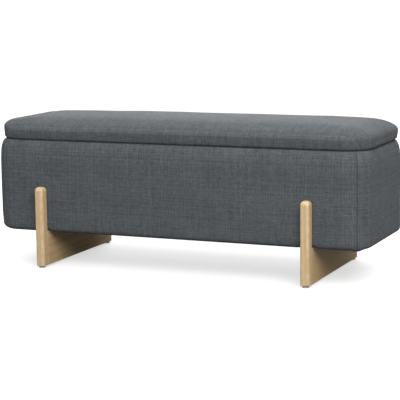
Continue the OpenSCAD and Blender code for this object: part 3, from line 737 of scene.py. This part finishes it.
def rounded_bar(name, lo, hi, radii, top, bottom, shares, material):
    """A bar on end: its plan is a rectangle with a radius at each corner, in the order front
    right, rear right, rear left, front left, and its ends roll in by the top and bottom radii.
    shares say how much of the end's roll the front and rear sides take."""
    turn, beside = np.linspace(0, quarter, 10), 0.002
    inset = np.concatenate([bottom * (1 - np.sin(turn)), [0, 0], top * (1 - np.cos(turn))])
    z = np.concatenate([lo[2] + bottom * (1 - np.cos(turn)),
                        [lo[2] + bottom + beside, hi[2] - top - beside],
                        hi[2] - top + top * np.sin(turn)])
    rows, plan_edge = [], []
    for k, (sx, sy) in enumerate(((1, -1), (1, 1), (-1, 1), (-1, -1))):
        r = np.maximum(radii[k] - inset, 0.0003)
        a = np.radians(-90 + 90 * k + np.linspace(0, 90, 9))
        share = inset * (shares[0] if sy < 0 else shares[1])
        cx = (hi[0] - inset - r) if sx > 0 else (lo[0] + inset + r)
        cy = (hi[1] - share - r) if sy > 0 else (lo[1] + share + r)
        arc = np.stack([cx, cy], axis=-1)[:, None] + r[:, None, None] * heading(a)
        ahead, behind = beside * heading(a[-1] + quarter), beside * heading(a[0] - quarter)
        rows.append(np.concatenate([arc[:, :1] + behind, arc, arc[:, -1:] + ahead], axis=1))
        plan_edge.append(np.concatenate([[0], np.ones(9), [0]]))
    plan = np.concatenate(rows, axis=1)
    points = np.concatenate([plan, np.broadcast_to(z[:, None, None], plan.shape[:2] + (1,))],
                            axis=-1)
    edge = np.maximum(np.concatenate(plan_edge)[None], (inset > 0)[:, None] * 1.0)
    middle = np.array([(lo[0] + hi[0]) / 2, (lo[1] + hi[1]) / 2])
    longer = max(0.0, (hi[1] - lo[1]) / 2 - (hi[0] - lo[0]) / 2)
    for end in (0, -1):
        rim = points[end]
        mid = np.stack([np.full(len(rim), middle[0]), middle[1] + np.clip(
            rim[:, 1] - middle[1], -longer, longer), rim[:, 2]], axis=-1)
        cap = np.stack([rim * 0.85 + mid * 0.15, mid])
        none = np.zeros((2, len(rim)))
        if end:
            points, edge = np.concatenate([points, cap]), np.concatenate([edge, none])
        else:
            points = np.concatenate([cap[::-1], points])
            edge = np.concatenate([none, edge])
    made = piece(name, points, grid_corners(*points.shape[:2], joined=True), material, "base")
    point_values(made.data, "edge", edge)
    weld(made)
    return made


# Radii of a post's outer edges, its top, its edges at the box and its foot, and of the
# board's edges.
post_r, top_r, inner_r, foot_r, routed_r = 0.008, 0.0125, 0.0012, 0.0015, 0.0016
for side in ("left", "right"):
    lo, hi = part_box("leg_board_" + side)
    board = rounded_bar("leg_" + side + "_board", lo, hi, (routed_r,) * 4, routed_r, routed_r,
                        (1, 1), lengthwise)
    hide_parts("leg_board_" + side)
    for end, radii, shares in (("front", (post_r, inner_r, inner_r, post_r), (1, 0.8)),
                               ("rear", (inner_r, post_r, post_r, inner_r), (0.8, 1))):
        lo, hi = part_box(end + "_post_" + side)
        post = rounded_bar("leg_" + side + "_" + end + "_post", lo, hi, radii, top_r, foot_r,
                           shares, upright)
        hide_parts(end + "_post_" + side)
dress(lengthwise, "leg_dowels")
dress(zinc, "leg_inserts", "leg_bolts", "leg_washers", "glide_nails")

# ---- floor glides ----
# Round pads of grey nylon under the two ends of each leg board, which keep the wood off
# the floor. Each is nailed up into the board through its middle.
nylon, nylon_tree, nylon_shader = new_material("grey_nylon", Subsurface_Weight=0.05)
scrapes = noise(nylon_tree, in_object(nylon_tree), (300, 1400, 300), 4.0)
tint(nylon_tree, nylon_shader, scrapes, (0.50, 0.49, 0.46, 1), (0.66, 0.65, 0.61, 1))
gloss(nylon_tree, nylon_shader, scrapes, 0.4, 0.6)
relief(nylon_tree, nylon_shader, scrapes, 0.3, 0.0002)
dress(nylon, "floor_glides")

# ---- lid pad ----
# A board with a block of foam over it and round its edges, covered in one piece of the same
# charcoal cloth, which is pulled over the corners, turned under the board and stapled.

# lid_r is the corners' radius in plan and roll the width of the rolled edge on top. The pad
# is widest at bulge_z, and pinch narrower under the board. The crown rises over the middle,
# and end_fall is how far from each end it starts to fall. The form is made lower by spare,
# because the pressure lifts it.
lid_lo, lid_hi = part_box("lid_cover")
lid_half = np.array(lid_hi[:2])
lid_z, lid_r, pinch, bulge_z, crown, roll = lid_lo[2], 0.078, 0.006, lid_lo[2] + 0.028, 0.012, 0.078
shoulder = lid_hi[2] - bulge_z - crown
lid_core = lid_half - lid_r
spare, end_fall = 0.0022, 0.32


def inside(x, y):
    """Distance of a point inside the lid's widest outline: how far the nearest side is, or
    near a corner, the corner's radius less the distance from its centre."""
    dx, dy = np.abs(x) - lid_core[0], np.abs(y) - lid_core[1]
    return lid_r - np.hypot(np.maximum(dx, 0), np.maximum(dy, 0)) - np.minimum(
        np.maximum(dx, dy), 0)


def lid_top(x, y):
    """Height of the lid: a quarter ellipse over the roll at its edge, and a crown that rises
    as a parabola from each side, with the two sides' parabolas joined smoothly."""
    s = np.clip(inside(x, y), 0, None)
    rise = np.sqrt(np.clip(1 - (1 - np.minimum(s, roll) / roll) ** 2, 0, 1))
    from_end = np.clip(1 - (lid_half[0] - np.abs(x)) / end_fall, 0, 1)
    from_side = np.clip(np.abs(y) / lid_half[1], 0, 1)
    return bulge_z + shoulder * rise + crown * (
        1 - np.sqrt(np.sqrt(from_end ** 8 + from_side ** 8)))


# The left end's extra stuffing and the lack of it behind: height, place and width of each.
more_high, more_at, more_wide = 0.0066, 0.018, 0.020
less_high, less_at, less_wide = 0.0028, 0.19, 0.13


def end_stuffing(x, z):
    """How much higher the pad lies than its even shape: two bell curves along x put more
    stuffing in the left end and less just behind it, fading out down the side."""
    from_left = x + lid_half[0]
    return smooth_step(z, lid_z + 0.005, lid_z + 0.03) * (
        more_high * np.exp(-((from_left - more_at) / more_wide) ** 2)
        - less_high * np.exp(-((from_left - less_at) / less_wide) ** 4))


# The soft pad stands out past its stated size by lid_out, and turns under by the radius tuck.
lid_out, tuck = np.array([0.003, 0.0015]), 0.0022
lid_half, lid_core = lid_half + lid_out, lid_core + lid_out
centre, angle = ring_path(lid_core, lid_r, 0.009)
flank = chain(line((lid_r - pinch - 0.012, lid_z), (lid_r - pinch - tuck, lid_z), 0.004),
              bend((lid_r - pinch - tuck, lid_z + tuck), (tuck, tuck), -90, -10, 4),
              bend((lid_r - pinch, bulge_z), (pinch, bulge_z - lid_z), -84, 0, 9)[1:])
side_rows = sweep_along(centre, angle, flank)
widest, reach = side_rows[-1], lid_half[0] - lid_half[1]
spine = np.stack([np.clip(widest[:, 0], -reach, reach), 0 * angle], axis=-1)
# Rows over the top, close together on the roll, and rows under the pad. Both run in to a line
# along X, so that the corners stay round as they shrink.
along = 1 - np.cos(np.linspace(0, quarter, 15)[1:])
shares = np.concatenate([along * roll, np.linspace(roll, lid_half[1], 10)[1:]]) / lid_half[1]
plan = widest[None, :, :2] * (1 - shares[:, None, None]) + spine[None] * shares[:, None, None]
top_rows = np.concatenate([plan, lid_top(plan[..., 0], plan[..., 1])[..., None] - spare], axis=-1)
shares = np.linspace(0, 1, 14)[:0:-1, None, None]
flat = np.concatenate([spine, np.full((len(angle), 1), lid_z)], axis=-1)
under_rows = side_rows[0][None] * (1 - shares) + flat[None] * shares

# The foam block: the same shape, smaller by foam_gap all round, hollowed for the board.
foam_gap, board_top = 0.0035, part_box("lid_board")[1][2] + 0.0001
board_edge = lid_r - (lid_hi[0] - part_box("lid_board")[1][0]) + 0.0001
foam_flank = flank[5:] - [foam_gap, 0]
hollow = chain(line((board_edge - 0.04, board_top), (board_edge, board_top), 0.01),
               line((board_edge, board_top), (board_edge, lid_z + foam_gap), 0.005), foam_flank)
hollow[:, 1] = np.maximum(hollow[:, 1], lid_z + foam_gap)
foam_side = sweep_along(centre, angle, hollow)
foam_top = top_rows - [0, 0, foam_gap - spare]
narrower = 1 - foam_gap / lid_half[1]
foam_top[..., :2] = spine + (foam_top[..., :2] - spine) * narrower
foam_spine = np.concatenate([spine, np.full((len(angle), 1), board_top)], axis=-1)
foam_under = foam_side[0][None] * (1 - shares) + foam_spine[None] * shares
foam_points = np.concatenate([foam_under, foam_side, foam_top])
foam_points[..., 2] += end_stuffing(foam_points[..., 0], foam_points[..., 2]) * (
    foam_points[..., 2] > board_top + 0.006)
foam_block = closed_piece("lid_foam_block", foam_points, foam, "lid")
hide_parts("lid_foam")

points = np.concatenate([under_rows, side_rows, top_rows])
pad = closed_piece("lid_pad_form", points, fabric, "lid")


def settled(made):
    """The piece's mesh with its modifiers applied."""
    return bpy.data.meshes.new_from_object(made.evaluated_get(
        bpy.context.evaluated_depsgraph_get()))


def each_point(mesh, what):
    """The place (co) or the normal of each of a mesh's points."""
    values = np.empty(len(mesh.vertices) * 3, np.float32)
    mesh.vertices.foreach_get(what, values)
    return values.reshape(-1, 3).astype(float)


# The pad is blown up a little as soft cloth, held flat under the board, so that its top and
# corners fill as foam does.
bpy.context.view_layer.update()
start_mesh = settled(pad)
start = each_point(start_mesh, "co")
pad.modifiers.clear()
pad.data = start_mesh
puffed, frames, pressure = start.copy(), 20, 4.0
hold = pad.vertex_groups.new(name="hold")
hold.add(np.flatnonzero(start[:, 2] < lid_z + 0.004).tolist(), 1.0, "REPLACE")
soft = pad.modifiers.new("puff", "CLOTH")
soft.settings.use_pressure, soft.settings.uniform_pressure_force = True, pressure
soft.settings.effector_weights.gravity = 0
soft.settings.vertex_group_mass = "hold"
soft.settings.quality = 4
soft.point_cache.frame_start, soft.point_cache.frame_end = 1, frames
for number in range(1, frames + 1):
    bpy.context.scene.frame_set(number)
puffed = each_point(settled(pad), "co")
pad.modifiers.clear()
pad.vertex_groups.clear()
outward = each_point(start_mesh, "normal")
risen = ((puffed - start) * outward).sum(axis=-1, keepdims=True)
most, ease, least = 0.0032, 0.02, -0.0004
start = start + outward * np.clip(most * np.tanh(risen / ease), least, most)
pad.data.vertices.foreach_set("co", start.astype(np.float32).ravel())
finer = pad.modifiers.new("finer", "SUBSURF")
finer.levels = finer.render_levels = 1
smooth_mesh = settled(pad)
place, normal = each_point(smooth_mesh, "co"), each_point(smooth_mesh, "normal")
faces = np.empty(len(smooth_mesh.loops), int)
smooth_mesh.loops.foreach_get("vertex_index", faces)
faces = faces.reshape(-1, 4)

# Small gathers where the cloth is pulled under the corners, and a faint unevenness on top.
gather_depth, top_waves, most_hanging, right_longer = 0.0009, 0.00022, 0.0034, 0.0035
turn = np.arctan2(np.maximum(np.abs(place[:, 1]) - lid_core[1], 0),
                  np.maximum(np.abs(place[:, 0]) - lid_core[0], 0) + 1e-9)
in_corner = np.sin(2 * turn) ** 2 * (inside(place[:, 0], place[:, 1]) < 0.05)
low = np.exp(-((place[:, 2] - lid_z) / 0.016) ** 2)
gathers = gather_depth * in_corner * low * (np.abs(np.sin(turn * 13)) - 0.6)
uneven = top_waves * (np.sin(place[:, 0] * 23 + place[:, 1] * 9)
                    * np.sin(place[:, 1] * 31 + 1) + 0.5 * np.sin(place[:, 0] * 51))
top_side = smooth_step(place[:, 2], lid_z + 0.005, lid_z + 0.03)
place = place + normal * (gathers + uneven * top_side)[:, None]
# Foam and cloth hang a little below the board at the front and the ends, where no hinge is,
# and the ends are not stuffed quite alike.
inset = inside(place[:, 0], place[:, 1])
hanging = np.clip(1 - (place[:, 2] - lid_z) / 0.026, 0, 1) ** 1.3 * (
    1 - smooth_step(inset, 0.010, 0.026)) * (1 - smooth_step(place[:, 1], 0.09, 0.16))
place[:, 2] += end_stuffing(place[:, 0], place[:, 2]) - most_hanging * hanging
place[:, 0] += right_longer * smooth_step(place[:, 0], 0.2, 0.57)

# The cloth's own map: flat on top, and run down the rolled edge by its length.
s = np.concatenate([[0.0], roll * (1 - np.cos(np.linspace(0.02, quarter, 60)))])
section = np.stack([s, bulge_z + shoulder * np.sqrt(1 - (1 - s / roll) ** 2)], axis=-1)
extra = lengths(section)[-1] - lengths(section) - (roll - s)
drop = np.where(place[:, 2] > bulge_z, np.interp(place[:, 2], section[:, 1], extra),
                extra[0] + bulge_z - place[:, 2])
sideways = normal[:, :2] ** 2 / np.maximum((normal[:, :2] ** 2).sum(-1, keepdims=True), 1e-9)
lid_map = place[:, :2] + np.sign(place[:, :2]) * drop[:, None] * sideways

# Under the lid the cloth ends well in from the edge, where the lining covers it.
turned_under = 0.044
keep = ~((place[faces, 2].max(axis=1) < lid_z + 0.003)
         & (inside(place[faces, 0], place[faces, 1]).min(axis=1) > turned_under))
faces = faces[keep]
used, faces = np.unique(faces, return_inverse=True)
faces = faces.reshape(-1, 4)
lid_cover = piece("lid_cover_cloth", place[used], faces, fabric, "lid",
                  lid_map[used], np.zeros(len(used)))
thicken(lid_cover, cloth_t)
bpy.data.objects.remove(pad)
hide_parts("lid_cover")

# ---- lid lining ----
# A black non-woven cloth that hides the board and the cloth's edges under the lid. Its hem
# is folded once and stapled to the board all round.
under_half = np.array([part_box("lid_lining")[1][0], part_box("lid_lining")[1][1]]) + 0.005
lid_under = stapled_sheet("lid_lining_sheet", under_half, 0.043, hem, lid_z - 0.0002, -0.0003,
                          (), "lid")
lid_staples = staple_row("lid_lining_staples", under_half - hem / 2, 0.037, 0.045,
                         lid_z - 0.0008, "lid")
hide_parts("lid_lining")

# ---- hinges and stays ----
# Two butt hinges at the rear, screwed to the box and to the lid's board, and a folding stay
# at each end of the well, from a plate on the end panel to a bracket on the lid. All are of
# zinc-plated steel.
dress(zinc, "hinge_box_leaves", "hinge_pins", "hinge_box_screws", "hinge_lid_leaves",
      "hinge_lid_screws", "stay_wall_plates", "stay_wall_screws", "stay_wall_pivots",
      "stay_lower_arm_left", "stay_lower_arm_right", "stay_knee_pivot_left",
      "stay_knee_pivot_right", "stay_upper_arm_left", "stay_upper_arm_right",
      "stay_lid_pivots", "stay_lid_brackets", "stay_lid_screws")

# ---- bumpers ----
# Soft black rubber buttons that stand on the rim. The lid comes down on them, and they
# keep its cloth off the cloth of the box.
rubber, rubber_tree, rubber_shader = new_material("black_rubber", Specular_IOR_Level=0.4)
bloom = put(rubber_tree, "TexNoise", in_object(rubber_tree), Scale=260.0, Detail=4.0)
tint(rubber_tree, rubber_shader, bloom, (0.012, 0.012, 0.012, 1), (0.035, 0.034, 0.033, 1))
gloss(rubber_tree, rubber_shader, bloom, 0.55, 0.75)
relief(rubber_tree, rubber_shader, bloom, 0.3, 0.0002)
dress(rubber, "rim_bumpers")

# ---- floor, light and camera ----
# A white studio: a wide pale floor, a surround that is brighter overhead, a large soft light
# at the front right, one low behind, and two weaker ones that fill the front and the right.
floor_mesh = bpy.data.meshes.new("studio_floor")
floor_half = 80.0
floor_mesh.from_pydata([(-floor_half, -floor_half, 0), (floor_half, -floor_half, 0),
                        (floor_half, floor_half, 0), (-floor_half, floor_half, 0)], [],
                       [(0, 1, 2, 3)])
floor = bpy.data.objects.new("studio_floor", floor_mesh)
bpy.context.scene.collection.objects.link(floor)
paper, paper_tree, paper_shader = new_material("studio_paper", Roughness=1.0,
                                               Specular_IOR_Level=0.0)
seen = put(paper_tree, "LightPath").outputs["Is Camera Ray"]
tint(paper_tree, paper_shader, seen, (0.14, 0.14, 0.14, 1), (0.50, 0.50, 0.50, 1))
join(paper_tree, calc(paper_tree, "MULTIPLY", seen, 0.6), paper_shader["Emission Strength"])
paper_shader["Emission Color"].default_value = (1, 1, 1, 1)
floor_mesh.materials.append(paper)

surround = bpy.data.worlds.new("studio_surround")
bpy.context.scene.world = surround
surround.use_nodes = True
surround_tree = surround.node_tree
sky = surround_tree.nodes["Background"]
seen = put(surround_tree, "LightPath").outputs["Is Camera Ray"]
height = put(surround_tree, "SeparateXYZ", put(surround_tree, "TexCoord").outputs["Generated"])
side_glow, top_glow, backdrop = 0.12, 1.38, 1.3
glow = span(surround_tree, height.outputs[2], 0.0, 1.0, side_glow, top_glow)
join(surround_tree, calc(surround_tree, "MAXIMUM", glow, calc(
    surround_tree, "MULTIPLY", seen, backdrop)), sky.inputs["Strength"])
sky.inputs["Color"].default_value = (1.0, 1.0, 1.0, 1)


def soft_light(name, place, aim, size, power):
    """A square light of the size given, turned to look at a point."""
    lamp = bpy.data.lights.new(name, "AREA")
    lamp.shape, lamp.size, lamp.energy = "SQUARE", size, power
    made = bpy.data.objects.new(name, lamp)
    made.location = place
    made.rotation_euler = (Vector(aim) - Vector(place)).to_track_quat("-Z", "Y").to_euler()
    bpy.context.scene.collection.objects.link(made)


soft_light("front_right", (2.32, -2.97, 2.75), (0, 0, 0.25), 2.4, 126)
soft_light("rear_low", (-1.2, 3.6, 1.5), (0, 0, 0.4), 2.0, 127)
soft_light("front_low", (-1.2, -4.2, 1.5), (0, 0, 0.3), 2.4, 24)
soft_light("right", (3.6, -1.6, 2.4), (0, 0, 0.3), 2.2, 16)

lens = bpy.data.cameras.new("camera")
lens.lens, lens.sensor_width = 130.2, 36.0
lens.clip_start, lens.clip_end = 0.1, 300.0
camera = bpy.data.objects.new("camera", lens)
right, up = Vector((0.91712, 0.39836, -0.01448)), Vector((-0.04884, 0.14835, 0.98773))
facing = Matrix((right, up, right.cross(up))).transposed()
camera.matrix_world = Matrix.Translation((1.76186, -4.01014, 0.88708)) @ facing.to_4x4()
bpy.context.scene.collection.objects.link(camera)
bpy.context.scene.camera = camera
bpy.context.scene.view_settings.view_transform = "Standard"
